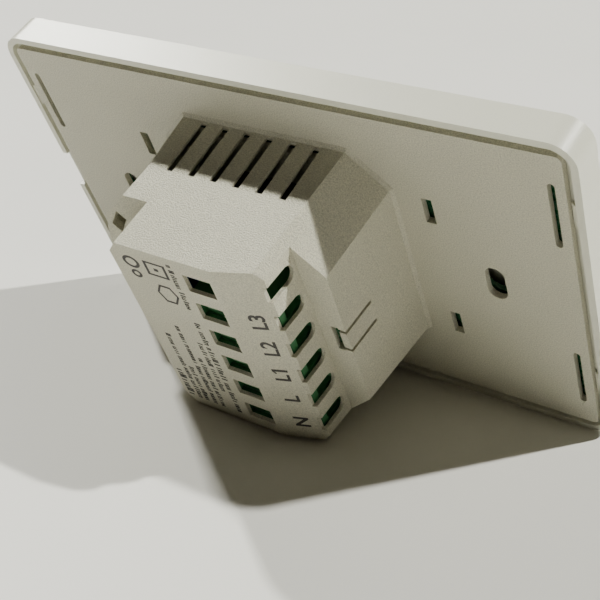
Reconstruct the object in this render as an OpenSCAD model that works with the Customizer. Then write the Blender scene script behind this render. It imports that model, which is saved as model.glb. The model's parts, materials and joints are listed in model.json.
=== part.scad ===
// Three-gang smart light switch: a clipped front panel with three push keys, and a
// wall housing that holds the mains board, its relays and a screw terminal block.
// X runs along the long side with the wire ports at -X, +Y points into the wall, +Z is up.
// The origin is the centre of the plane that lies on the wall.

/* [Front panel] */
// Length of the front panel
panel_x = 120; // [112:1:144]
// Height of the front panel
panel_z = 72; // [66:1:86]
// Corner radius of the front panel
panel_r = 4.8; // [3:0.2:8]
// Depth of the panel in front of the wall
panel_depth = 6.5; // [6.5:0.1:8]
// Thickness of the panel's side wall
rim_wall = 1.3; // [1:0.1:1.5]
// Thickness of the panel's front border
front_sheet = 1.2; // [1:0.1:1.4]
// Width of the border round the keys
border = 7; // [7:0.5:9]
// Length of the pry notch in one short side
pry_length = 9.1; // [6:0.1:12]
// Depth of the pry notch from the wall plane
pry_depth = 1.3; // [0.8:0.1:1.6]

/* [Keys] */
// Thickness of a key
key_t = 1.5; // [1.3:0.1:1.6]
// Gap round each key
key_gap = 0.35; // [0.25:0.05:0.6]
// Travel of a key
key_travel = 0.3; // [0.2:0.05:0.35]
// Width of the indicator window in a key
lens_x = 6; // [3:0.5:10]
// Height of the indicator window in a key
lens_z = 1.2; // [0.8:0.1:2]

/* [Back plate] */
// Gap between the panel's side wall and the back plate
groove = 1.3; // [0.8:0.1:1.6]
// Thickness of the back plate
plate_t = 1.3; // [1.2:0.1:1.6]
// Distance between the two wall screws
screw_spacing = 83.3; // [78:0.1:86]
// Width of a wall screw slot
screw_slot_w = 3.8; // [3.4:0.1:5]
// Length of a wall screw slot
screw_slot_l = 7.8; // [5:0.1:10]

/* [Housing] */
// Width of the housing at the wall plane
neck_x = 49.5; // [46:0.1:56]
// Height of the housing at the wall plane
neck_z = 50.2; // [48:0.1:56]
// Size of the 45 degree corners
corner_cut = 7.07; // [6:0.1:8]
// Depth of the housing behind the wall plane
housing_depth = 30; // [29.5:0.1:36]
// Depth at which the housing steps in
ledge_y = 20.3; // [20:0.1:21]
// Wall thickness of the housing
wall = 1.5; // [1.3:0.1:1.8]
// Wall thickness of the stepped part behind the mains board
rear_wall = 0.8; // [0.7:0.1:1]
// Number of vents in the top and in the bottom
vents = 6; // [4:1:7]
// Distance between vents
vent_pitch = 4.93; // [3:0.01:5]
// Width of a vent
vent_w = 1.5; // [1:0.1:2]

/* [Terminals] */
// Number of ports, the first of them blank
ports = 6; // [6:1:6]
// Distance between terminals
way_pitch = 7.14; // [7:0.01:7.2]
// Width of a port
port_w = 3.66; // [3.2:0.01:4]
// Width of a screwdriver window
window_w = 4.14; // [3.6:0.01:4.4]
// Length of a screwdriver window
window_x = 5.97; // [4.6:0.01:6]
// Radius of a terminal screw's thread
screw_r = 1.5; // [1.3:0.05:1.7]
// Travel of a clamp cage
clamp_travel = 1.4375; // [1:0.0125:1.5]

/* [Hidden] */
$fn = 48;
tiny = 0.01;
fit_gap = 0.3;
run_gap = 0.05;

// Front panel layers, counted from the wall plane towards the room
front_y = -panel_depth;
sheet_back_y = front_y + front_sheet;
key_back_y = front_y + key_t;
board_t = 1;
board_rear_y = -plate_t - 0.9;
board_front_y = board_rear_y - board_t;
tact_t = 0.75;
tact_front_y = board_front_y - tact_t;
plunger_front_y = key_back_y + 0.02;
key_ear_t = 0.6;
key_ear = 1.2;
open_x = panel_x - 2 * border;
open_z = panel_z - 2 * border;
key_x = (open_x - 4 * key_gap) / 3;
key_z = open_z - 2 * key_gap;
key_step = key_x + key_gap;
shelf_w = 2.1;
shelf_y = -plate_t - 0.3;
shelf_x = panel_x - 2 * rim_wall - 2 * shelf_w;
shelf_z = panel_z - 2 * rim_wall - 2 * shelf_w;
shelf_r = 2.5;
ctrl_x = shelf_x - 2 * fit_gap;
ctrl_z = shelf_z - 2 * fit_gap;
boss_r = 1.6;
boss_places = [for (i = [-1 : 1], k = [-1, 1])
    [i * (shelf_x / 2 - 2.3), k * (shelf_z / 2 - 2)]];
tact_z = 2;
lens_place_z = -18;

// Back plate
plate_x = panel_x - 2 * rim_wall - 2 * groove;
plate_z = panel_z - 2 * rim_wall - 2 * groove;
plate_r = 1.2;
hook_z = 21;
hook_reach = 1.1;
clip_slot_w = 1.3;
clip_slot_l = 14;
clip_slot_x = plate_x / 2 - 2.4;
clip_slot_z = 20.5;
port_slot_w = 2;
port_slot_l = 5.7;
port_slot_x = neck_x / 2 + 6.6;
port_slot_z = 14.6;

// Housing: half sizes shrink with depth by the draft of the mould
draft_x = 0.06;
draft_z = 0.07;
function half_x(y) = neck_x / 2 - draft_x * y;
function half_z(y) = neck_z / 2 - draft_z * y;
function half_d(y) = (half_x(y) + half_z(y) - corner_cut) / sqrt(2);
cove = 0.6;
big = 80;
port_wall_x = -(half_x(ledge_y) - 5.55);
blank_wall_x = half_x(housing_depth) - 8.3;
blank_cut = 2.6;
floor_flat_z = 11.7;
floor_slope = 0.26;
fold_x = -8.5;
strip_drop = 2.5;
strip_y = housing_depth - strip_drop;
strip_slope = strip_drop / (fold_x - port_wall_x);
vent_start_y = 1;
vent_end_y = 12.83;
tongue_half = 2.4;
tongue_root_y = 12.5;
slit = 0.7;
tongue_gap = 1.5;
thin_wall = 0.5;
thin_ledge = 0.5;
flare_y = 12;
flare_out = 1;
pocket_hole = [2.5, 3.4];
pocket_place = [half_x(ledge_y) - 3.4, 0, half_z(ledge_y) - 5.9];
board_seat_y = ledge_y - wall;
post_r = 2;
post_place = min(half_x(0) - 7.4, half_z(0) - 7.8);
cover_rear_y = 1.7;
cover_t = 1.2;
cover_front_y = cover_rear_y - cover_t;
function way_z(i) = ((ports - 1) / 2 - i) * way_pitch;

// Mains board and what stands on it
power_t = 1.6;
power_front_y = board_seat_y - power_t;
power_x = 2 * (half_x(board_seat_y) - wall - fit_gap);
power_z = 2 * (half_z(board_seat_y) - wall - fit_gap);
power_diag = 2 * post_place - post_r * sqrt(2) - fit_gap;
part_top_y = cover_rear_y + fit_gap;

// Terminal block
block_x0 = port_wall_x + rear_wall + draft_x * (housing_depth - ledge_y) + 0.15;
block_x1 = -0.5;
block_y1 = housing_depth - rear_wall - 0.1;
block_ways = ports - 1;
block_z1 = way_z(1) + way_pitch / 2;
block_z0 = way_z(ports - 1) - way_pitch / 2;
screw_x = -4.6;
window_centre_x = -4.385;
window_shift_z = -0.2;
cage_z = 4.6;
cage_x = 4.8;
cage_wall = 0.8;
cage_h = 4.4;
chamber_z = 5.2;
chamber_y0 = board_seat_y + 1;
cage_y0 = chamber_y0 + 0.1;
cage_y1 = cage_y0 + cage_h;
chamber_y1 = cage_y1 + clamp_travel + 0.1;
neck_wall = 0.6;
head_y0 = chamber_y1 + neck_wall;
head_t = 1.2;
head_r = 2.1;
bar_t = 0.6;
bar_y1 = cage_y1 - cage_wall - fit_gap;
screw_tip_y = bar_y1 + fit_gap;
tunnel_y = head_y0 + head_t + 0.2;
tunnel_x0 = -7.6;
tunnel_x1 = -1.1;
tunnel_z = 5;
lid_y = block_y1 - 1;

// ---- shared shapes ----

// Extrudes an outline drawn in X and Z from y0 to y1
module slab(y0, y1) {
    translate([0, y1, 0]) rotate([90, 0, 0]) linear_extrude(y1 - y0) children();
}

// Rectangle with round corners, centred
module round_rect(w, h, r) {
    square([w - 2 * r, h], center = true);
    square([w, h - 2 * r], center = true);
    for (i = [-1, 1], k = [-1, 1])
        translate([i * (w / 2 - r), k * (h / 2 - r)]) circle(r);
}

// Upright slot with round ends
module upright_slot(w, l) {
    square([w, l - w], center = true);
    for (k = [-1, 1]) translate([0, k * (l - w) / 2]) circle(w / 2);
}

// Rectangle with its corners cut off where |x| + |z| passes diag
module cut_rect(w, h, diag) {
    intersection() {
        square([w, h], center = true);
        rotate(45) square(diag * sqrt(2), center = true);
    }
}

// Box from two opposite corners
module span_box(a, b) {
    translate(a) cube(b - a);
}

// Round bar along Y
module rod_y(r, y0, y1) {
    translate([0, y1, 0]) rotate([90, 0, 0]) cylinder(r = r, h = y1 - y0);
}

// Block whose half width runs from h0 at y0 to h1 at y1, turned about Y
module drafted_wedge(turn, h0, h1, y0, y1) {
    rotate([0, turn, 0]) translate([0, 0, -big / 2]) linear_extrude(big)
        polygon([[-h0, y0], [h0, y0], [h1, y1], [-h1, y1]]);
}

// The housing's body between two depths, its faces moved in by inset
module housing_body(y0, y1, inset) {
    intersection() {
        drafted_wedge(0, half_x(y0) - inset, half_x(y1) - inset, y0, y1);
        drafted_wedge(90, half_z(y0) - inset, half_z(y1) - inset, y0, y1);
        drafted_wedge(45, half_d(y0) - inset, half_d(y1) - inset, y0, y1);
        drafted_wedge(-45, half_d(y0) - inset, half_d(y1) - inset, y0, y1);
    }
}

// ---- front panel ----

module hook(side, k) {
    wall_x = panel_x / 2 - rim_wall;
    translate([0, 0, k * hook_z - 2.4]) linear_extrude(4.8)
        polygon([[side * (wall_x + tiny), -0.3], [side * (wall_x - hook_reach), -0.9],
                 [side * (wall_x - hook_reach), -1.3], [side * (wall_x + tiny), -1.9]]);
}

module front_frame() {
    color("whitesmoke") {
        difference() {
            slab(front_y, 0) round_rect(panel_x, panel_z, panel_r);
            slab(shelf_y, tiny)
                round_rect(panel_x - 2 * rim_wall, panel_z - 2 * rim_wall, panel_r - rim_wall);
            slab(sheet_back_y, shelf_y + tiny) round_rect(shelf_x, shelf_z, shelf_r);
            slab(front_y - tiny, sheet_back_y + tiny) round_rect(open_x, open_z, 1.2);
            span_box([panel_x / 2 - rim_wall - 0.5, -pry_depth, -pry_length / 2 + 0.5],
                     [panel_x / 2 + 0.5, 1, pry_length / 2 + 0.5]);
        }
        for (side = [-1, 1], k = [-1, 1]) hook(side, k);
        for (p = boss_places) translate([p[0], 0, p[1]]) difference() {
            rod_y(boss_r, sheet_back_y - tiny, board_front_y);
            rod_y(0.8, board_front_y - 1, board_front_y + 1);
        }
    }
}

module key(i) {
    color("white") translate([i * key_step, 0, 0]) difference() {
        union() {
            slab(front_y, key_back_y) round_rect(key_x, key_z, 0.9);
            for (k = [-1, 1], j = [-1, 1])
                span_box([j * key_x / 4 - 4, key_back_y - tiny, k * (key_z / 2 + key_gap) - key_ear],
                         [j * key_x / 4 + 4, key_back_y + key_ear_t, k * (key_z / 2 + key_gap) + key_ear]);
        }
        translate([0, 0, lens_place_z]) slab(front_y - 1, key_back_y + 1)
            square([lens_x, lens_z], center = true);
    }
}

module lens(i) {
    color("lightblue") translate([i * key_step, 0, lens_place_z])
        slab(front_y, key_back_y) square([lens_x, lens_z], center = true);
}

module control_board() {
    color("darkgreen") difference() {
        slab(board_front_y, board_rear_y) round_rect(ctrl_x, ctrl_z, shelf_r - fit_gap);
        for (p = boss_places) translate([p[0], 0, p[1]]) rod_y(1.1, board_front_y - 1, board_rear_y + 1);
        for (i = [-1, 1]) translate([i * screw_spacing / 2, 0, 0])
            rod_y(4.2, board_front_y - 1, board_rear_y + 1);
    }
}

module board_screws() {
    color("silver") for (p = boss_places) translate([p[0], 0, p[1]]) {
        rod_y(1.7, board_rear_y, board_rear_y + 0.6);
        rod_y(0.8, board_front_y - 0.9, board_rear_y + tiny);
    }
}

module tact_switch_bodies() {
    color("dimgray") for (i = [-1 : 1]) translate([i * key_step, 0, tact_z]) difference() {
        slab(tact_front_y, board_front_y) round_rect(6, 6, 0.4);
        rod_y(1.3 + run_gap, tact_front_y - 1, board_front_y - 0.1);
    }
}

module plunger(i) {
    color("black") translate([i * key_step, 0, tact_z])
        rod_y(1.3, plunger_front_y, board_front_y - key_travel - 0.15);
}

module indicator_leds() {
    color("gold") for (i = [-1 : 1]) translate([i * key_step, 0, lens_place_z])
        slab(board_front_y - 0.6, board_front_y) square([3.2, 1.2], center = true);
}

module radio_board() {
    color("darkgreen") slab(board_rear_y, board_rear_y + 0.8)
        translate([0, 5]) square([16, 20], center = true);
}

module radio_shield() {
    color("silver") slab(board_rear_y + 0.8, board_rear_y + 2.6)
        translate([0, 3]) round_rect(13.5, 13.5, 0.6);
}

header_z = -17;
header_ways = 8;
header_pitch = 2.54;
header_len = header_ways * header_pitch;
header_gap_y = 0.2;

module header_pins() {
    color("goldenrod") translate([0, 0, header_z]) {
        slab(board_rear_y, -header_gap_y - 0.2) square([header_len, 2.5], center = true);
        for (i = [0 : header_ways - 1])
            translate([(i - (header_ways - 1) / 2) * header_pitch, 0, 0])
                slab(-header_gap_y - 0.3, 6) square(0.64, center = true);
    }
}

// ---- housing ----

// Outline of the stepped part on its blank side, its walls moved in by inset
module blank_outline(inset) {
    edge_x = blank_wall_x - blank_cut - 1 - 1.3 * inset;
    edge_z = half_z(ledge_y) + 1;
    turn_z = half_z(housing_depth) - blank_cut - 0.37 * inset;
    polygon([[-big / 2, -edge_z], [edge_x, -edge_z], [blank_wall_x - inset, -turn_z],
             [blank_wall_x - inset, turn_z], [edge_x, edge_z], [-big / 2, edge_z]]);
}

// The space beside the blank side wall, behind its sloping floor
module blank_side_cut() {
    flat_y = ledge_y + floor_slope * (half_z(ledge_y) - floor_flat_z);
    edge_y = ledge_y - floor_slope * (big / 2 - half_z(ledge_y));
    intersection() {
        slab(0, big) difference() {
            translate([0, -big / 2]) square([big, big]);
            blank_outline(0);
        }
        rotate([90, 0, 90]) linear_extrude(big)
            polygon([[edge_y, -big / 2], [flat_y, -floor_flat_z], [flat_y, floor_flat_z],
                     [edge_y, big / 2], [big, big / 2], [big, -big / 2]]);
    }
}

// The space beyond the port wall, from start_y on, and behind the slanted strip that
// carries the terminal marks
module port_side_cut(inset, start_y) {
    rise = 2 * strip_drop;
    run = 2 * (fold_x - port_wall_x);
    lean = draft_x * (housing_depth - ledge_y);
    translate([0, 0, -big / 2]) linear_extrude(big) {
        polygon([[port_wall_x + inset, start_y], [port_wall_x + inset, ledge_y],
                 [port_wall_x + inset + lean, housing_depth], [-big, housing_depth], [-big, start_y]]);
        polygon([[fold_x, housing_depth - inset], [fold_x - run, housing_depth - inset - rise],
                 [fold_x - run, housing_depth + 5], [fold_x, housing_depth + 5]]);
    }
}

// A wire port: a slot in the port wall, round at the bottom and open at the strip's edge
module port(i) {
    round_y = ledge_y + 0.9 + port_w / 2;
    depth = 2 + rear_wall + draft_x * (housing_depth - ledge_y);
    translate([port_wall_x - 2, 0, way_z(i)]) rotate([0, 90, 0]) linear_extrude(depth) {
        translate([-port_w / 2, round_y]) square([port_w, housing_depth + 1 - round_y]);
        translate([0, round_y]) circle(port_w / 2);
    }
}

module vent_row(k) {
    for (i = [0 : vents - 1])
        translate([(i - (vents - 1) / 2) * vent_pitch, 0, 0])
            span_box([-vent_w / 2, vent_start_y, k > 0 ? half_z(vent_end_y) - wall - 1 : -neck_z / 2 - cove - 1],
                     [vent_w / 2, vent_end_y, k > 0 ? neck_z / 2 + cove + 1 : -half_z(vent_end_y) + wall + 1]);
}

// The cut corners beside the pocket, which lean out towards the ledge
module corner_flare() {
    y0 = flare_y;
    y1 = ledge_y + 1.5;
    intersection() {
        drafted_wedge(0, half_x(y0), half_x(y1), y0, y1);
        drafted_wedge(90, half_z(y0), half_z(y1), y0, y1);
        drafted_wedge(45, half_d(y0), half_d(y1) + flare_out, y0, y1);
        drafted_wedge(-45, half_d(y0), half_d(y1) + flare_out, y0, y1);
        span_box([0, 0, -big], [big, big, big]);
    }
}

// Recesses inside the housing that thin its wall round the vents, the tongue and the pocket
module thin_fields() {
    vent_reach = (vents - 1) / 2 * vent_pitch + vent_w / 2 + 1;
    intersection() {
        housing_body(-1, board_seat_y, thin_wall);
        span_box([-vent_reach, 0.3, -big], [vent_reach, vent_end_y + 1, big]);
    }
    intersection() {
        housing_body(-1, board_seat_y, thin_wall);
        span_box([-big, tongue_root_y - 0.8, -tongue_half - 1], [0, board_seat_y, tongue_half + 1]);
    }
    span_box([-half_x(ledge_y) + wall - 0.6, board_seat_y - 1, -tongue_half - 1],
             [-half_x(ledge_y) + wall + tongue_gap + 0.6, ledge_y - thin_ledge, tongue_half + 1]);
    intersection() {
        housing_body(-1, housing_depth, thin_wall);
        translate(pocket_place) rotate([0, -31, 0])
            slab(board_seat_y - 1, ledge_y + 0.4) square([pocket_hole[0] + 1, pocket_hole[1] + 1], center = true);
    }
}

module plate_holes() {
    slab(-plate_t - 1, 1) {
        for (i = [-1, 1]) translate([i * screw_spacing / 2, 0]) upright_slot(screw_slot_w, screw_slot_l);
        for (i = [-1, 1], k = [-1, 1]) {
            translate([i * clip_slot_x, k * clip_slot_z]) upright_slot(clip_slot_w, clip_slot_l);
            translate([i * port_slot_x, k * port_slot_z]) square([port_slot_w, port_slot_l], center = true);
        }
    }
}

module rear_housing() {
    color("gainsboro") {
        difference() {
            union() {
                slab(-plate_t, 0) round_rect(plate_x, plate_z, plate_r);
                difference() {
                    union() {
                        housing_body(-1, housing_depth, 0);
                        corner_flare();
                        intersection() {
                            drafted_wedge(0, half_x(0) + cove, half_x(cove), 0, cove);
                            drafted_wedge(90, half_z(0) + cove, half_z(cove), 0, cove);
                            drafted_wedge(45, half_d(0) + cove, half_d(cove), 0, cove);
                            drafted_wedge(-45, half_d(0) + cove, half_d(cove), 0, cove);
                        }
                    }
                    port_side_cut(0, ledge_y);
                    blank_side_cut();
                }
            }
            housing_body(-plate_t - 1, board_seat_y, wall);
            thin_fields();
            difference() {
                intersection() {
                    housing_body(board_seat_y - tiny, housing_depth - rear_wall, rear_wall);
                    slab(0, big) blank_outline(rear_wall);
                }
                port_side_cut(rear_wall, board_seat_y - 1);
            }
            plate_holes();
            vent_row(1);
            vent_row(-1);
            for (i = [0 : ports - 1]) {
                port(i);
                translate([window_centre_x, 0, way_z(i) + window_shift_z])
                    slab(housing_depth - rear_wall - 1, housing_depth + 1)
                        square([window_x, window_w], center = true);
            }
            for (k = [-1, 1])
                span_box([-half_x(0) - 1, tongue_root_y, k * tongue_half - slit / 2],
                         [-half_x(ledge_y) + wall + 1, ledge_y + 1, k * tongue_half + slit / 2]);
            span_box([-half_x(ledge_y) + wall, board_seat_y - 1, -tongue_half - slit / 2 - 0.3],
                     [-half_x(ledge_y) + wall + tongue_gap, ledge_y + 1, tongue_half + slit / 2 + 0.3]);
            translate(pocket_place) rotate([0, -31, 0])
                slab(board_seat_y - 1, housing_depth) square(pocket_hole, center = true);
        }
        for (i = [-1, 1], k = [-1, 1]) translate([i * post_place, 0, k * post_place]) difference() {
            rod_y(post_r, cover_rear_y, board_seat_y + 0.3);
            rod_y(0.8, cover_rear_y - 1, cover_rear_y + 6);
        }
    }
}

module inner_cover() {
    edge = wall + fit_gap;
    color("lightgray") difference() {
        housing_body(cover_front_y, cover_rear_y, edge);
        for (i = [-1, 1], k = [-1, 1]) translate([i * post_place, 0, k * post_place])
            rod_y(1.1, cover_front_y - 1, cover_rear_y + 1);
        translate([0, 0, header_z]) slab(cover_front_y - 1, cover_rear_y + 1)
            square([header_len + 1, 3.4], center = true);
    }
}

module cover_screws() {
    color("silver") for (i = [-1, 1], k = [-1, 1]) translate([i * post_place, 0, k * post_place]) {
        rod_y(1.8, cover_front_y - 0.9, cover_front_y);
        rod_y(0.8, cover_front_y - tiny, cover_rear_y + 5);
    }
}

// ---- mains board ----

module power_board() {
    color("seagreen") slab(power_front_y, board_seat_y) difference() {
        cut_rect(power_x, power_z, power_diag);
        for (i = [1 : ports - 1]) translate([-1.4, way_z(i)]) square([1, 2], center = true);
    }
}

module header_socket() {
    color("black") translate([0, 0, header_z]) difference() {
        slab(header_gap_y, power_front_y) square([header_len, 2.5], center = true);
        slab(header_gap_y - 1, 6.6) square([header_len - 1.2, 1.3], center = true);
    }
}

relay_x = 7.2;
relay_z = 20;
relay_step = 7.7;
relay_place = [-10.9, 5.9];

module relay(i) {
    color("black") translate([relay_place[0] + i * relay_step, 0, relay_place[1]])
        slab(part_top_y, power_front_y) round_rect(relay_x, relay_z, 0.5);
}

transformer_place = [14.6, 4.4];

module transformer_core() {
    color("dimgray") translate([transformer_place[0], 0, transformer_place[1]]) difference() {
        slab(power_front_y - 12, power_front_y) square([8.4, 13], center = true);
        for (k = [-1, 1]) translate([0, 0, k * 3.9])
            slab(power_front_y - 10, power_front_y - 3) square([12, 3], center = true);
    }
}

module transformer_winding() {
    color("goldenrod") translate([transformer_place[0], 0, transformer_place[1]]) difference() {
        slab(power_front_y - 9.9, power_front_y - 3.1) square([11, 10.6], center = true);
        slab(power_front_y - 11, power_front_y - 2)
            square([8.4 + 2 * run_gap, 4.8 + 2 * run_gap], center = true);
    }
}

module input_capacitor() {
    color("darkslategray") translate([-14, 0, -9.6]) rod_y(4.6, part_top_y + 1, power_front_y);
}

module output_capacitor() {
    color("navy") translate([-4.8, 0, -10.1]) rod_y(3.9, part_top_y + 3, power_front_y);
}

module film_capacitor() {
    color("khaki") translate([5.4, 0, -9.4]) slab(power_front_y - 10, power_front_y)
        round_rect(10, 6, 0.8);
}

module rectifier() {
    color("black") translate([16.8, 0, -7]) slab(power_front_y - 3, power_front_y)
        square([6.4, 8], center = true);
}

module choke() {
    color("sienna") translate([13.6, 0, -14]) rod_y(2.6, power_front_y - 8, power_front_y);
}

fuse_r = 2.2;
varistor_r = 4.2;

module fuse() {
    color("beige") translate([3.4, board_seat_y + fuse_r, -16]) cylinder(r = fuse_r, h = 12);
}

module varistor() {
    color("royalblue") translate([8.6, board_seat_y + varistor_r, 6]) rotate([0, 90, 0])
        cylinder(r = varistor_r, h = 3, center = true);
}

// ---- terminals ----

module terminal_block() {
    color("darkgreen") difference() {
        intersection() {
            span_box([block_x0, board_seat_y, block_z0], [block_x1, block_y1, block_z1]);
            housing_body(board_seat_y, housing_depth, rear_wall + 0.15);
        }
        // Sloped shoulder under the slanted strip
        translate([0, 0, -big / 2]) linear_extrude(big)
            polygon([[fold_x + 1, block_y1 + tiny], [fold_x - 39, block_y1 - 40 * strip_slope - 0.2],
                     [fold_x - 39, block_y1 + 5], [fold_x + 1, block_y1 + 5]]);
        // Room for the end of a cover post
        translate([-post_place, 0, -post_place])
            rod_y(post_r + 0.2, board_seat_y - 1, board_seat_y + 0.6);
        for (i = [1 : ports - 1]) translate([0, 0, way_z(i)]) {
            span_box([screw_x - 3.6, chamber_y0, -chamber_z / 2], [-0.9, chamber_y1, chamber_z / 2]);
            span_box([block_x0 - 1, chamber_y0 + 1, -port_w / 2], [screw_x - 3, chamber_y1 - 0.6, port_w / 2]);
            translate([screw_x, 0, 0]) rod_y(screw_r + run_gap, chamber_y1 - 1, head_y0 + 1);
            translate([screw_x, 0, 0]) rod_y(head_r + 0.2, head_y0 - 0.05, tunnel_y + tiny);
            span_box([tunnel_x0, tunnel_y, -tunnel_z / 2], [tunnel_x1, block_y1 + 1, tunnel_z / 2]);
            span_box([tunnel_x0 - 0.5, lid_y, -tunnel_z / 2 - 0.5], [tunnel_x1, lid_y + 0.3, tunnel_z / 2 + 0.5]);
            translate([-1.4, 0, 0]) slab(board_seat_y - 1, chamber_y0 + 1) square([1, 2], center = true);
        }
    }
}

module contact_bars() {
    color("goldenrod") for (i = [1 : ports - 1]) translate([0, 0, way_z(i)]) {
        span_box([screw_x - 3, bar_y1 - bar_t, -1.4], [-1.1, bar_y1, 1.4]);
        span_box([-1.7, power_front_y + 0.2, -0.8], [-1.1, bar_y1, 0.8]);
    }
}

module terminal_screw(i) {
    color("silver") translate([screw_x, 0, way_z(i)]) {
        difference() {
            rod_y(head_r, head_y0, head_y0 + head_t);
            span_box([-head_r - 1, head_y0 + 0.5, -0.4], [head_r + 1, head_y0 + head_t + 1, 0.4]);
        }
        rod_y(screw_r, screw_tip_y, head_y0 + tiny);
    }
}

module clamp_cage(i) {
    color("darkgray") translate([screw_x, 0, way_z(i)]) difference() {
        span_box([-cage_x / 2, cage_y0, -cage_z / 2], [cage_x / 2, cage_y1, cage_z / 2]);
        span_box([-cage_x, cage_y0 + cage_wall, -cage_z / 2 + 0.6],
                 [cage_x, cage_y1 - cage_wall, cage_z / 2 - 0.6]);
        rod_y(screw_r + run_gap, cage_y1 - cage_wall - 1, cage_y1 + 1);
    }
}

front_frame();
key(-1);  // key_left
key(0);  // key_middle
key(1);  // key_right
lens(-1);  // lens_left
lens(0);  // lens_middle
lens(1);  // lens_right
control_board();
board_screws();
tact_switch_bodies();
plunger(-1);  // plunger_left
plunger(0);  // plunger_middle
plunger(1);  // plunger_right
indicator_leds();
radio_board();
radio_shield();
header_pins();
rear_housing();
inner_cover();
cover_screws();
power_board();
header_socket();
relay(0);  // relay_line_1
relay(1);  // relay_line_2
relay(2);  // relay_line_3
transformer_core();
transformer_winding();
input_capacitor();
output_capacitor();
film_capacitor();
rectifier();
choke();
fuse();
varistor();
terminal_block();
contact_bars();
terminal_screw(1);  // terminal_screw_1
terminal_screw(2);  // terminal_screw_2
terminal_screw(3);  // terminal_screw_3
terminal_screw(4);  // terminal_screw_4
terminal_screw(5);  // terminal_screw_5
clamp_cage(1);  // clamp_cage_1
clamp_cage(2);  // clamp_cage_2
clamp_cage(3);  // clamp_cage_3
clamp_cage(4);  // clamp_cage_4
clamp_cage(5);  // clamp_cage_5
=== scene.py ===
"""The looks of a three-gang smart light switch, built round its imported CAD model.

The switch lies on a pale table on the lower rear edge of its back plate and on the
lower edge of its housing, seen from behind. All lengths are in metres unless a name
ends in _mm, and the frame is the part's own: +Y into the wall, +Z up.
"""

from __future__ import annotations

import json
import logging
import math
import random
from dataclasses import dataclass
from enum import Enum

import bpy
from mathutils import Matrix, Vector

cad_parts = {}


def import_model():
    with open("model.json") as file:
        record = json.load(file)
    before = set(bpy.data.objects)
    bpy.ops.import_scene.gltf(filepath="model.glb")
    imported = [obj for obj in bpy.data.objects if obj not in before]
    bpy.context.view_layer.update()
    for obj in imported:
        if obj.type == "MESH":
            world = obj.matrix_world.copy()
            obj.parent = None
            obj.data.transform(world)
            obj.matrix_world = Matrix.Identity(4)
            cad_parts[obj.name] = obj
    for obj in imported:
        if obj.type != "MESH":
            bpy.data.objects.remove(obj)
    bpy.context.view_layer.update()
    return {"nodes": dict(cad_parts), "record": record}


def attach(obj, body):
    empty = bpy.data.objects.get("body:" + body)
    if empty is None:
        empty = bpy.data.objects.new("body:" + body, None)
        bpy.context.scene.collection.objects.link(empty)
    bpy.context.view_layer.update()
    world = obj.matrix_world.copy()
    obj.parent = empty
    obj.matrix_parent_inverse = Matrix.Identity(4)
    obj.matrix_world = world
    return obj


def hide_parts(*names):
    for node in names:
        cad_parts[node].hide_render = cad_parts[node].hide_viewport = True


LOG = logging.getLogger("light_switch")
MM = 0.001

Colour = tuple[float, float, float]
Point = tuple[float, float, float]


class Body(str, Enum):
    """The CAD bodies that new pieces ride on."""

    HOUSING = "housing"
    PANEL = "front_panel"


class Grain(Enum):
    """Surface textures of moulded plastic."""

    SPARK_ERODED = "spark_eroded"
    SATIN = "satin"
    SMOOTH = "smooth"


# grain: turns per metre, and height in metres
GRAIN_SCALE = {Grain.SPARK_ERODED: 3900.0, Grain.SATIN: 5200.0, Grain.SMOOTH: 2500.0}
GRAIN_HEIGHT = {Grain.SPARK_ERODED: 0.00032, Grain.SATIN: 0.00003, Grain.SMOOTH: 0.00001}

PLASTIC_IOR = 1.49
PLASTIC_GLOSS_SPREAD = 0.07
CLOUD_SCALE = 55.0
CLOUD_HEIGHT = 0.00005
GLOW_RADIUS = (0.9 * MM, 0.8 * MM, 0.7 * MM)
METAL_PATCH_SCALE = 700.0
METAL_SCRATCH_SCALE = 6000.0
COPPER_LANE_SCALE = 420.0
INK_WEAR_SCALE = 2600.0
FINE_HEIGHT = 0.00001
COPPER_HEIGHT = 0.00002

MERGE_DISTANCE = 0.000004
FLAT_ANGLE = math.radians(1.0)
SHARP_ANGLE = math.radians(28.0)


# ---- node helpers ----


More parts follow.
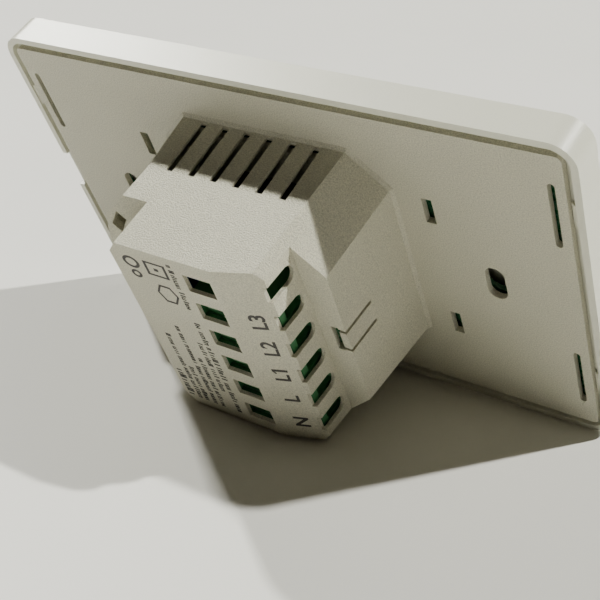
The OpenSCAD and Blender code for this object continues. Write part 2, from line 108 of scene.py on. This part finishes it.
class NodeSheet:
    """A material's node tree with short calls to add and join nodes."""

    def __init__(self, name: str) -> None:
        """Makes an empty material with a principled shader.

        Args:
            name: the finish's name.
        """
        self.material = bpy.data.materials.new(name)
        self.material.use_nodes = True
        self.tree = self.material.node_tree
        self.tree.nodes.clear()
        self.shader = self.tree.nodes.new("ShaderNodeBsdfPrincipled")
        output = self.tree.nodes.new("ShaderNodeOutputMaterial")
        self.link(self.shader.outputs["BSDF"], output.inputs["Surface"])
        self.place = self.tree.nodes.new("ShaderNodeTexCoord").outputs["Object"]

    def link(self, source: bpy.types.NodeSocket, target: bpy.types.NodeSocket) -> None:
        """Joins two sockets."""
        self.tree.links.new(source, target)

    def noise(self, scale: float, detail: float = 2.0, rough: float = 0.5) -> bpy.types.NodeSocket:
        """Adds a noise in object space.

        Args:
            scale: turns per metre.
            detail: octaves.
            rough: strength of the finer octaves.

        Returns:
            The noise's value, about 0.5 on average.
        """
        node = self.tree.nodes.new("ShaderNodeTexNoise")
        node.inputs["Scale"].default_value = scale
        node.inputs["Detail"].default_value = detail
        node.inputs["Roughness"].default_value = rough
        self.link(self.place, node.inputs["Vector"])
        return node.outputs["Fac"]

    def spread(self, value: bpy.types.NodeSocket, low: float, high: float,
               from_low: float = 0.3, from_high: float = 0.7) -> bpy.types.NodeSocket:
        """Maps a value to a range.

        Args:
            value: the value to map.
            low: result at from_low.
            high: result at from_high.
            from_low: lowest value expected.
            from_high: highest value expected.

        Returns:
            The mapped value.
        """
        node = self.tree.nodes.new("ShaderNodeMapRange")
        node.inputs["From Min"].default_value = from_low
        node.inputs["From Max"].default_value = from_high
        node.inputs["To Min"].default_value = low
        node.inputs["To Max"].default_value = high
        self.link(value, node.inputs["Value"])
        return node.outputs["Result"]

    def blend(self, amount: bpy.types.NodeSocket, a: Colour, b: Colour) -> bpy.types.NodeSocket:
        """Mixes two colours by a value.

        Args:
            amount: 0 for the first colour, 1 for the second.
            a: first colour.
            b: second colour.

        Returns:
            The mixed colour.
        """
        node = self.tree.nodes.new("ShaderNodeMix")
        node.data_type = "RGBA"
        self.link(amount, node.inputs["Factor"])
        node.inputs["A"].default_value = (*a, 1.0)
        node.inputs["B"].default_value = (*b, 1.0)
        return node.outputs["Result"]

    def bump(self, height: bpy.types.NodeSocket, distance: float, strength: float = 1.0) -> None:
        """Feeds a height to the shader's normal, on top of any bump already there.

        Args:
            height: the height's value.
            distance: real height of 1, in metres.
            strength: share of the bump used.
        """
        node = self.tree.nodes.new("ShaderNodeBump")
        node.inputs["Distance"].default_value = distance
        node.inputs["Strength"].default_value = strength
        self.link(height, node.inputs["Height"])
        earlier = self.shader.inputs["Normal"]
        if earlier.is_linked:
            self.link(earlier.links[0].from_socket, node.inputs["Normal"])
        self.link(node.outputs["Normal"], earlier)


def shade(colour: Colour, factor: float) -> Colour:
    """Returns the colour made lighter or darker by a factor."""
    return tuple(min(1.0, c * factor) for c in colour)


# ---- finishes ----


@dataclass(frozen=True)
class MouldedPlastic:
    """Moulded plastic with grain, slight colour clouds and uneven gloss."""

    name: str
    colour: Colour
    grain: Grain
    roughness: float
    speckle: float = 0.05
    clouds: float = 0.03
    glow: float = 0.0

    def make(self) -> bpy.types.Material:
        """Builds the finish.

        Returns:
            The material.
        """
        sheet = NodeSheet(self.name)
        fine = sheet.noise(GRAIN_SCALE[self.grain], 3.0, 0.6)
        wide = sheet.noise(CLOUD_SCALE, 2.0)
        tint = sheet.blend(sheet.spread(wide, 0.0, 1.0),
                           shade(self.colour, 1.0 - self.clouds),
                           shade(self.colour, 1.0 + self.clouds))
        fleck = sheet.tree.nodes.new("ShaderNodeMix")
        fleck.data_type = "RGBA"
        fleck.blend_type = "MULTIPLY"
        fleck.inputs["Factor"].default_value = 1.0
        sheet.link(tint, fleck.inputs["A"])
        dark, white = (1.0 - self.speckle,) * 3, (1.0,) * 3
        sheet.link(sheet.blend(sheet.spread(fine, 0.0, 1.0), dark, white), fleck.inputs["B"])
        sheet.link(fleck.outputs["Result"], sheet.shader.inputs["Base Color"])
        sheet.link(sheet.spread(fine, self.roughness - PLASTIC_GLOSS_SPREAD,
                                self.roughness + PLASTIC_GLOSS_SPREAD),
                   sheet.shader.inputs["Roughness"])
        sheet.shader.inputs["IOR"].default_value = PLASTIC_IOR
        if self.glow:
            sheet.shader.inputs["Subsurface Weight"].default_value = self.glow
            sheet.shader.inputs["Subsurface Radius"].default_value = GLOW_RADIUS
            sheet.shader.inputs["Subsurface Scale"].default_value = 1.0
        sheet.bump(fine, GRAIN_HEIGHT[self.grain])
        sheet.bump(wide, CLOUD_HEIGHT, 0.4)
        return sheet.material


@dataclass(frozen=True)
class PlatedMetal:
    """Plated metal with fine scratches and dull patches."""

    name: str
    colour: Colour
    roughness: float

    def make(self) -> bpy.types.Material:
        """Builds the finish.

        Returns:
            The material.
        """
        sheet = NodeSheet(self.name)
        patches = sheet.noise(METAL_PATCH_SCALE, 3.0, 0.6)
        scratches = sheet.noise(METAL_SCRATCH_SCALE, 2.0)
        dull = shade(self.colour, 0.75)
        sheet.link(sheet.blend(sheet.spread(patches, 0.0, 1.0), dull, self.colour),
                   sheet.shader.inputs["Base Color"])
        sheet.shader.inputs["Metallic"].default_value = 1.0
        sheet.link(sheet.spread(patches, self.roughness - 0.1, self.roughness + 0.12),
                   sheet.shader.inputs["Roughness"])
        sheet.bump(scratches, FINE_HEIGHT, 0.6)
        return sheet.material


@dataclass(frozen=True)
class CircuitLaminate:
    """Glass laminate under solder resist, with the dim lines of its copper."""

    name: str
    colour: Colour

    def make(self) -> bpy.types.Material:
        """Builds the finish.

        Returns:
            The material.
        """
        sheet = NodeSheet(self.name)
        lanes = sheet.tree.nodes.new("ShaderNodeTexVoronoi")
        lanes.distance = "MANHATTAN"
        lanes.inputs["Scale"].default_value = COPPER_LANE_SCALE
        sheet.link(sheet.place, lanes.inputs["Vector"])
        copper = sheet.spread(lanes.outputs["Distance"], 0.0, 1.0, 0.34, 0.42)
        sheet.link(sheet.blend(copper, self.colour, shade(self.colour, 1.7)),
                   sheet.shader.inputs["Base Color"])
        sheet.link(sheet.spread(sheet.noise(900.0), 0.22, 0.36),
                   sheet.shader.inputs["Roughness"])
        sheet.bump(copper, COPPER_HEIGHT, 0.5)
        return sheet.material


@dataclass(frozen=True)
class PrintInk:
    """Matt ink with small gaps where it wears."""

    name: str
    colour: Colour

    def make(self) -> bpy.types.Material:
        """Builds the finish.

        Returns:
            The material.
        """
        sheet = NodeSheet(self.name)
        worn = sheet.noise(INK_WEAR_SCALE, 3.0, 0.7)
        faded = shade(self.colour, 2.2)
        sheet.link(sheet.blend(sheet.spread(worn, 0.0, 1.0, 0.35, 0.75), self.colour, faded),
                   sheet.shader.inputs["Base Color"])
        sheet.shader.inputs["Roughness"].default_value = 0.62
        sheet.bump(worn, FINE_HEIGHT, 0.5)
        return sheet.material


@dataclass(frozen=True)
class TableTop:
    """A pale, smooth table."""

    name: str = "pale_table"
    colour: Colour = (0.82, 0.81, 0.775)

    def make(self) -> bpy.types.Material:
        """Builds the finish.

        Returns:
            The material.
        """
        sheet = NodeSheet(self.name)
        soft = sheet.noise(14.0, 3.0)
        dim = shade(self.colour, 0.97)
        sheet.link(sheet.blend(sheet.spread(soft, 0.0, 1.0), dim, self.colour),
                   sheet.shader.inputs["Base Color"])
        sheet.shader.inputs["Roughness"].default_value = 0.55
        return sheet.material


FINISHES = {
    "panel_plastic": MouldedPlastic(
        "panel_plastic_finish", (0.80, 0.795, 0.67), Grain.SATIN, 0.34,
        speckle=0.04, clouds=0.015, glow=0.02),
    "housing_plastic": MouldedPlastic(
        "housing_plastic_finish", (0.86, 0.83, 0.66), Grain.SPARK_ERODED, 0.38,
        speckle=0.40, clouds=0.02, glow=0.05),
    "lens_plastic": MouldedPlastic(
        "lens_plastic_finish", (0.16, 0.22, 0.29), Grain.SMOOTH, 0.16,
        speckle=0.01, clouds=0.01, glow=0.1),
    "black_plastic": MouldedPlastic(
        "black_plastic_finish", (0.025, 0.025, 0.027), Grain.SATIN, 0.45, speckle=0.1),
    "block_green": MouldedPlastic(
        "block_green_finish", (0.045, 0.21, 0.075), Grain.SATIN, 0.42,
        speckle=0.12, clouds=0.06),
    "led_body": MouldedPlastic(
        "led_body_finish", (0.85, 0.83, 0.62), Grain.SMOOTH, 0.2,
        speckle=0.02, clouds=0.02, glow=0.3),
    "ferrite": MouldedPlastic(
        "ferrite_finish", (0.06, 0.06, 0.062), Grain.SPARK_ERODED, 0.7, speckle=0.3),
    "winding_tape": MouldedPlastic(
        "winding_tape_finish", (0.72, 0.52, 0.06), Grain.SMOOTH, 0.3, speckle=0.05),
    "capacitor_sleeve": MouldedPlastic(
        "capacitor_sleeve_finish", (0.03, 0.045, 0.09), Grain.SMOOTH, 0.25, speckle=0.05),
    "film_box": MouldedPlastic(
        "film_box_finish", (0.62, 0.5, 0.14), Grain.SATIN, 0.4, speckle=0.05),
    "fuse_body": MouldedPlastic(
        "fuse_body_finish", (0.66, 0.62, 0.5), Grain.SATIN, 0.5, speckle=0.1),
    "varistor_coat": MouldedPlastic(
        "varistor_coat_finish", (0.03, 0.09, 0.32), Grain.SPARK_ERODED, 0.4, speckle=0.1),
    "screw_steel": PlatedMetal("screw_steel_finish", (0.62, 0.61, 0.58), 0.32),
    "cage_steel": PlatedMetal("cage_steel_finish", (0.5, 0.49, 0.47), 0.38),
    "tin_can": PlatedMetal("tin_can_finish", (0.72, 0.72, 0.72), 0.28),
    "pin_brass": PlatedMetal("pin_brass_finish", (0.78, 0.6, 0.28), 0.3),
    "board": CircuitLaminate("board_finish", (0.012, 0.075, 0.03)),
}


# ---- modelling helpers ----


def deselect() -> None:
    """Leaves nothing selected."""
    if bpy.context.object and bpy.context.object.mode != "OBJECT":
        bpy.ops.object.mode_set(mode="OBJECT")
    bpy.ops.object.select_all(action="DESELECT")


def make_active(piece: bpy.types.Object) -> None:
    """Selects one object and makes it active."""
    deselect()
    piece.select_set(True)
    bpy.context.view_layer.objects.active = piece


def apply_modifiers(piece: bpy.types.Object) -> None:
    """Applies all modifiers of a piece in order."""
    make_active(piece)
    for name in [m.name for m in piece.modifiers]:
        bpy.ops.object.modifier_apply(modifier=name)


def finish_piece(piece: bpy.types.Object, material: bpy.types.Material, body: str,
                 smooth_deg: float = 35.0) -> None:
    """Places a piece's transform in its mesh, and gives it a finish and a body.

    Args:
        piece: the piece.
        material: its finish.
        body: the CAD body it rides on.
        smooth_deg: angle under which edges are shaded smooth.
    """
    make_active(piece)
    bpy.ops.object.transform_apply(location=True, rotation=True, scale=True)
    bpy.ops.object.shade_smooth_by_angle(angle=math.radians(smooth_deg))
    piece.data.materials.clear()
    piece.data.materials.append(material)
    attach(piece, body)
    LOG.info("piece %s rides on %s", piece.name, body)


def softened_copy(node: bpy.types.Object, name: str, radius_mm: float,
                  steps: int = 2) -> bpy.types.Object:
    """Copies a CAD node and rounds its sharp edges a little.

    Args:
        node: the CAD node.
        name: name of the new piece.
        radius_mm: size of the rounding.
        steps: faces across the rounding.

    Returns:
        The new piece.
    """
    mesh = node.data.copy()
    piece = bpy.data.objects.new(name, mesh)
    bpy.context.scene.collection.objects.link(piece)
    make_active(piece)
    bpy.ops.object.mode_set(mode="EDIT")
    bpy.ops.mesh.select_all(action="SELECT")
    bpy.ops.mesh.remove_doubles(threshold=MERGE_DISTANCE)
    bpy.ops.mesh.dissolve_limited(angle_limit=FLAT_ANGLE)
    bpy.ops.object.mode_set(mode="OBJECT")
    rounding = piece.modifiers.new("edge_rounding", "BEVEL")
    rounding.width = radius_mm * MM
    rounding.segments = steps
    rounding.limit_method = "ANGLE"
    rounding.angle_limit = SHARP_ANGLE
    rounding.use_clamp_overlap = True
    apply_modifiers(piece)
    return piece


def settle_normals(piece: bpy.types.Object) -> None:
    """Lets the large flat faces of a piece set its shading."""
    weighted = piece.modifiers.new("face_weighting", "WEIGHTED_NORMAL")
    weighted.mode = "FACE_AREA"
    weighted.weight = 80
    weighted.keep_sharp = True
    apply_modifiers(piece)


# ---- stage ----


@dataclass
class Studio:
    """Camera, table and lights."""

    eye: Point = (-0.124273, 0.117375, 0.156302)
    right: Point = (-0.8154479, -0.5180400, -0.2582234)
    up: Point = (0.2488350, -0.7165246, 0.6516699)
    forward: Point = (0.5226145, -0.4671478, -0.7131950)
    lens_mm: float = 73.04
    rest_point: Point = (0.0, 0.0, -0.036)
    table_tilt_deg: float = 23.4
    table_size: float = 6.0
    key_from: Point = (-0.895, -1.0, 1.0)
    key_power: float = 78.0
    key_distance: float = 2.4
    key_size: float = 0.07
    side_from: Point = (1.45, -1.0, 0.97)
    side_power: float = 66.0
    side_size: float = 0.09
    lamp_colour: Colour = (1.0, 1.0, 0.92)
    fill_from: Point = (-0.9, 0.6, 1.2)
    fill_power: float = 0.15
    fill_distance: float = 1.8
    fill_size: float = 1.6
    fill_colour: Colour = (1.0, 0.84, 0.64)
    room_colour: Colour = (1.0, 0.80, 0.55)
    room_strength: float = 0.018
    wall_colour: Colour = (0.80, 0.79, 0.76)
    wall_strength: float = 0.9

    def build_camera(self) -> None:
        """Adds the camera."""
        data = bpy.data.cameras.new("studio_camera")
        data.sensor_width = 36.0
        data.lens = self.lens_mm
        data.clip_start = 0.01
        camera = bpy.data.objects.new("studio_camera", data)
        turn = Matrix((self.right, self.up, tuple(-c for c in self.forward))).transposed()
        camera.matrix_world = Matrix.Translation(self.eye) @ turn.to_4x4()
        bpy.context.scene.collection.objects.link(camera)
        bpy.context.scene.camera = camera

    def build_table(self) -> None:
        """Adds the table under the edges that the switch rests on."""
        deselect()
        bpy.ops.mesh.primitive_grid_add(x_subdivisions=8, y_subdivisions=8, size=self.table_size)
        table = bpy.context.object
        table.name = "table"
        table.matrix_world = (Matrix.Translation(self.rest_point)
                              @ Matrix.Rotation(math.radians(self.table_tilt_deg), 4, "X"))
        bpy.ops.object.transform_apply(location=True, rotation=True, scale=True)
        table.data.materials.append(TableTop().make())

    def add_area(self, name: str, direction: Point, distance: float, size: float,
                 power: float, colour: Colour) -> None:
        """Adds a square lamp that faces the switch.

        Args:
            name: the lamp's name.
            direction: from the switch to the lamp.
            distance: how far away it is.
            size: its side.
            power: its watts.
            colour: its colour.
        """
        lamp = bpy.data.lights.new(name, "AREA")
        lamp.energy = power
        lamp.size = size
        lamp.color = colour
        holder = bpy.data.objects.new(name, lamp)
        away = Vector(direction).normalized()
        holder.matrix_world = (Matrix.Translation(away * distance)
                               @ away.to_track_quat("Z", "Y").to_matrix().to_4x4())
        bpy.context.scene.collection.objects.link(holder)

    def build_lights(self) -> None:
        """Adds the key lamp, a weaker one from the other side and the fill."""
        self.add_area("key_lamp", self.key_from, self.key_distance, self.key_size,
                      self.key_power, self.lamp_colour)
        self.add_area("side_lamp", self.side_from, self.key_distance, self.side_size,
                      self.side_power, self.lamp_colour)
        self.add_area("fill_lamp", self.fill_from, self.fill_distance, self.fill_size,
                      self.fill_power, self.fill_colour)

    def build_room(self) -> None:
        """Adds the room's weak light, and the pale wall seen past the table's far edge."""
        world = bpy.data.worlds.new("room")
        world.use_nodes = True
        tree = world.node_tree
        background = tree.nodes["Background"]
        # the wall is there for the camera only, so it adds no light
        wall = tree.nodes.new("ShaderNodeBackground")
        wall.inputs["Color"].default_value = (*self.wall_colour, 1.0)
        wall.inputs["Strength"].default_value = self.wall_strength
        seen = tree.nodes.new("ShaderNodeLightPath")
        choice = tree.nodes.new("ShaderNodeMixShader")
        tree.links.new(seen.outputs["Is Camera Ray"], choice.inputs["Fac"])
        tree.links.new(background.outputs["Background"], choice.inputs[1])
        tree.links.new(wall.outputs["Background"], choice.inputs[2])
        tree.links.new(choice.outputs["Shader"], tree.nodes["World Output"].inputs["Surface"])
        background.inputs["Color"].default_value = (*self.room_colour, 1.0)
        background.inputs["Strength"].default_value = self.room_strength
        bpy.context.scene.world = world


# ---- the switch ----


@dataclass
class FrontPanel:
    """The clipped front panel and its keys, which sit in front of the control board."""

    edge_radius_mm: float = 0.45
    key_radius_mm: float = 0.3
    keys: tuple[str, ...] = ("left", "middle", "right")

    def build(self, nodes: dict[str, bpy.types.Object],
              paints: dict[str, bpy.types.Material]) -> None:
        """Rounds the edges of the panel and of its keys.

        Args:
            nodes: the CAD nodes.
            paints: the finishes by slot.
        """
        panel = softened_copy(nodes["front_frame"], "front_panel_moulding",
                              self.edge_radius_mm, steps=3)
        finish_piece(panel, paints["panel_plastic"], Body.PANEL.value)
        settle_normals(panel)
        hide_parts("front_frame")
        for side in self.keys:
            key = softened_copy(nodes[f"key_{side}"], f"key_{side}_moulding",
                                self.key_radius_mm)
            finish_piece(key, paints["panel_plastic"], f"key_{side}_body")
            settle_normals(key)
            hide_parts(f"key_{side}")


@dataclass(frozen=True)
class Sign:
    """A plain outlined shape in the print."""

    name: str
    corners: int
    x_mm: float
    z_mm: float
    tall_mm: float
    wide_mm: float
    line_mm: float
    dot_share: float


@dataclass
class HousingPrint:
    """The marks printed on the rear face and on the slanted strip beside the terminals."""

    seed: int = 11
    ink_mm: float = 0.03
    face_y_mm: float = 30.0
    fold_x_mm: float = -8.5
    strip_slope: float = 2.5 / 9.48
    way_pitch_mm: float = 7.14
    terminal_marks: tuple[str, ...] = ("L3", "L2", "L1", "L", "N")
    mark_size_mm: float = 4.2
    mark_boldness_mm: float = 0.09
    mark_x_mm: float = -13.45
    first_mark_step: float = 1.5
    row_growth: float = 1.12
    sign_widths: tuple[float, ...] = (0.22, 0.40, 0.46, 0.50, 0.62)
    sign_gap: float = 0.17
    word_gap: float = 0.40
    word_signs: tuple[int, int] = (3, 8)
    tall_share: float = 0.3
    short_drop: float = 0.26
    stroke_share: float = 0.27
    rows: tuple[tuple[float, float, float, float], ...] = (
        # from x, to x, from z, to z: one row of fine print each
        (0.35, 1.45, 9.3, 21.5),
        (0.35, 1.55, -21.0, 6.7),
        (2.3, 3.4, -15.2, 0.2),
        (4.4, 5.5, -21.0, -4.8),
        (6.3, 7.4, -21.0, 3.2),
        (8.4, 9.5, -21.0, -9.5),
        (10.1, 11.2, -21.0, 0.2),
        (12.0, 13.5, -21.0, -11.5),
    )
    signs: tuple[Sign, ...] = (
        Sign("dotted_square", 4, 4.75, 18.7, 4.9, 3.5, 0.42, 0.55),
        Sign("hexagon", 6, 4.75, 12.4, 4.9, 5.2, 0.50, 0.0),
        Sign("ring", 28, 10.3, 19.0, 3.8, 3.0, 0.55, 0.0),
        Sign("small_ring", 28, 10.3, 16.0, 2.4, 2.0, 0.5, 0.0),
    )

    def strip_y(self, x_mm: float) -> float:
        """Returns the depth of the slanted strip's face at x, in millimetres."""
        return self.face_y_mm + min(0.0, (x_mm - self.fold_x_mm) * self.strip_slope)

    def build_fine_print(self, paint: bpy.types.Material) -> None:
        """Fills each row with short blocks of ink in place of words.

        Args:
            paint: the ink.
        """
        draw = random.Random(self.seed)
        deselect()
        bpy.ops.mesh.primitive_plane_add(size=0.1 * MM, location=(0.0, self.face_y_mm * MM, 0.0))
        piece = bpy.context.object
        piece.name = "fine_print"
        bpy.ops.object.transform_apply(location=True, rotation=True, scale=True)
        bpy.ops.object.mode_set(mode="EDIT")
        bpy.ops.mesh.select_all(action="SELECT")
        bpy.ops.mesh.delete(type="VERT")
        for x0, x1, z0, z1 in self.rows:
            height = (x1 - x0) * self.row_growth
            z = z0
            left = 0
            while z < z1:
                if left == 0:
                    left = draw.randint(*self.word_signs)
                    z += self.word_gap * height
                    continue
                width = height * draw.choice(self.sign_widths)
                if z + width > z1:
                    break
                top = x0 + height * (0.0 if draw.random() < self.tall_share else self.short_drop)
                self.add_glyph(top, x0 + height, z, z + width, draw)
                z += width + self.sign_gap * height
                left -= 1
        bpy.ops.object.mode_set(mode="OBJECT")
        finish_piece(piece, paint, Body.HOUSING.value)

    def add_glyph(self, top: float, bottom: float, z0: float, z1: float,
                  draw: random.Random) -> None:
        """Adds one small sign made of strokes that form no letter to the mesh in edit mode.

        Args:
            top: x of its upper edge, in millimetres.
            bottom: x of its lower edge.
            z0: where it starts along the row.
            z1: where it ends.
            draw: the seeded source of choices.
        """
        stroke = (bottom - top) * self.stroke_share
        boxes = [(top, bottom, z0, min(z0 + stroke, z1))]
        if z1 - z0 > 2.2 * stroke:
            boxes.append((top, bottom, z1 - stroke, z1))
            middle = draw.choice((0.0, 0.4, 0.73)) * (bottom - top)
            boxes.append((top + middle, top + middle + stroke, z0, z1))
        y = (self.face_y_mm + self.ink_mm / 2) * MM
        for a, b, c, d in boxes:
            bpy.ops.mesh.primitive_cube_add(
                size=MM, location=((a + b) / 2 * MM, y, (c + d) / 2 * MM),
                scale=(abs(b - a), self.ink_mm, abs(d - c)))

    def make_ring(self, corners: int, outer: float, inner: float) -> bpy.types.Object:
        """Makes a flat ring of ink at the origin, one unit across.

        Args:
            corners: its number of corners.
            outer: its outer size, as a share of the unit.
            inner: its inner size.

        Returns:
            The ring.
        """
        deselect()
        bpy.ops.mesh.primitive_circle_add(vertices=corners, radius=0.5 * outer,
                                          fill_type="NOTHING",
                                          rotation=(0.0, 0.0, math.pi / corners))
        bpy.ops.object.transform_apply(location=False, rotation=True, scale=False)
        ring = bpy.context.object
        bpy.ops.object.mode_set(mode="EDIT")
        bpy.ops.mesh.select_all(action="SELECT")
        bpy.ops.mesh.extrude_edges_move()
        bpy.ops.transform.resize(value=(inner / outer,) * 3, center_override=(0.0, 0.0, 0.0))
        bpy.ops.object.mode_set(mode="OBJECT")
        skin = ring.modifiers.new("ink_thickness", "SOLIDIFY")
        skin.thickness = self.ink_mm
        skin.offset = 0.0
        apply_modifiers(ring)
        bpy.ops.object.mode_set(mode="EDIT")
        bpy.ops.mesh.select_all(action="SELECT")
        bpy.ops.mesh.normals_make_consistent(inside=False)
        bpy.ops.object.mode_set(mode="OBJECT")
        return ring

    def build_signs(self, paint: bpy.types.Material) -> None:
        """Prints plain outlined shapes above the fine print.

        Args:
            paint: the ink.
        """
        for sign in self.signs:
            inner = 1.0 - 2.0 * sign.line_mm / min(sign.tall_mm, sign.wide_mm)
            parts = [self.make_ring(sign.corners, 1.0, inner)]
            if sign.dot_share:
                parts.append(self.make_ring(sign.corners, 0.36 * sign.dot_share, 0.02))
            deselect()
            for part in parts:
                part.select_set(True)
            bpy.context.view_layer.objects.active = parts[0]
            if len(parts) > 1:
                bpy.ops.object.join()
            shape = bpy.context.object
            shape.name = f"sign_{sign.name}"
            # a square's corners lie further out than its sides
            stretch = math.sqrt(2.0) if sign.corners == 4 else 1.0
            tall, wide = sign.tall_mm * stretch * MM, sign.wide_mm * stretch * MM
            at = Vector((sign.x_mm, self.face_y_mm + self.ink_mm / 2, sign.z_mm)) * MM
            shape.matrix_world = (Matrix.Translation(at)
                                  @ Matrix.Rotation(math.radians(90.0), 4, "X")
                                  @ Matrix.Diagonal((tall, wide, MM, 1.0)))
            finish_piece(shape, paint, Body.HOUSING.value)

    def add_flag(self, text: bpy.types.Object) -> None:
        """Gives the figure at the end of a mark its slanted flag.

        Args:
            text: the mark, still flat and at the origin.
        """
        right = max(v.co.x for v in text.data.vertices)
        top = max(v.co.y for v in text.data.vertices)
        make_active(text)
        bpy.ops.object.mode_set(mode="EDIT")
        bpy.ops.mesh.select_all(action="DESELECT")
        bpy.ops.mesh.primitive_cube_add(
            size=MM, location=(right - 0.85 * MM, top - 0.42 * MM, 0.0),
            rotation=(0.0, 0.0, math.radians(38.0)), scale=(0.95, 0.36, self.ink_mm))
        bpy.ops.object.mode_set(mode="OBJECT")

    def build_terminal_marks(self, paint: bpy.types.Material) -> None:
        """Prints the terminal marks along the slanted strip.

        Args:
            paint: the ink.
        """
        slope = math.atan(self.strip_slope)
        # reading direction +Z, tops towards +X, facing out of the strip
        outward = Vector((-math.sin(slope), math.cos(slope), 0.0))
        along = Vector((0.0, 0.0, 1.0))
        turn = Matrix((along, outward.cross(along), outward)).transposed().to_4x4()
        for i, mark in enumerate(self.terminal_marks):
            deselect()
            bpy.ops.object.text_add(location=(0, 0, 0))
            text = bpy.context.object
            text.name = f"terminal_mark_{mark}"
            text.data.body = mark
            text.data.size = self.mark_size_mm * MM
            text.data.align_x = "CENTER"
            text.data.align_y = "CENTER"
            text.data.extrude = self.ink_mm / 2 * MM
            text.data.offset = self.mark_boldness_mm * MM
            bpy.ops.object.convert(target="MESH")
            if "1" in mark:
                self.add_flag(text)
            z = (self.first_mark_step - i) * self.way_pitch_mm
            at = Vector((self.mark_x_mm, self.strip_y(self.mark_x_mm), z)) * MM
            at += outward * self.ink_mm / 2 * MM
            text.matrix_world = Matrix.Translation(at) @ turn
            finish_piece(text, paint, Body.HOUSING.value)


@dataclass
class RearHousing:
    """The back plate with the deep housing, in one moulding."""

    edge_radius_mm: float = 0.18

    def build(self, nodes: dict[str, bpy.types.Object],
              paints: dict[str, bpy.types.Material]) -> None:
        """Rounds the moulding's edges and prints its marks.

        Args:
            nodes: the CAD nodes.
            paints: the finishes by slot.
        """
        moulding = softened_copy(nodes["rear_housing"], "rear_housing_moulding",
                                 self.edge_radius_mm)
        finish_piece(moulding, paints["housing_plastic"], Body.HOUSING.value)
        settle_normals(moulding)
        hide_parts("rear_housing")
        ink = PrintInk("label_ink", (0.035, 0.032, 0.03)).make()
        marks = HousingPrint()
        marks.build_fine_print(ink)
        marks.build_signs(ink)
        marks.build_terminal_marks(ink)


def dress_nodes(frame: dict, paints: dict[str, bpy.types.Material]) -> None:
    """Gives every CAD node the finish of its slot.

    Args:
        paints: the finishes by slot.
    """
    slots = {s["node"]: s["material_slot"] for s in frame["record"]["subparts"]}
    for name, node in frame["nodes"].items():
        node.data.materials.clear()
        node.data.materials.append(paints[slots[name]])
        LOG.info("node %s is dressed in %s", name, slots[name])


def main() -> None:
    """Builds the switch round the frame."""
    logging.basicConfig(level=logging.INFO, format="%(message)s")
    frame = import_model()
    studio = Studio()
    studio.build_camera()
    studio.build_table()
    studio.build_lights()
    studio.build_room()
    paints = {slot: finish.make() for slot, finish in FINISHES.items()}
    dress_nodes(frame, paints)
    FrontPanel().build(frame["nodes"], paints)
    RearHousing().build(frame["nodes"], paints)


if __name__ == "__main__":
    main()
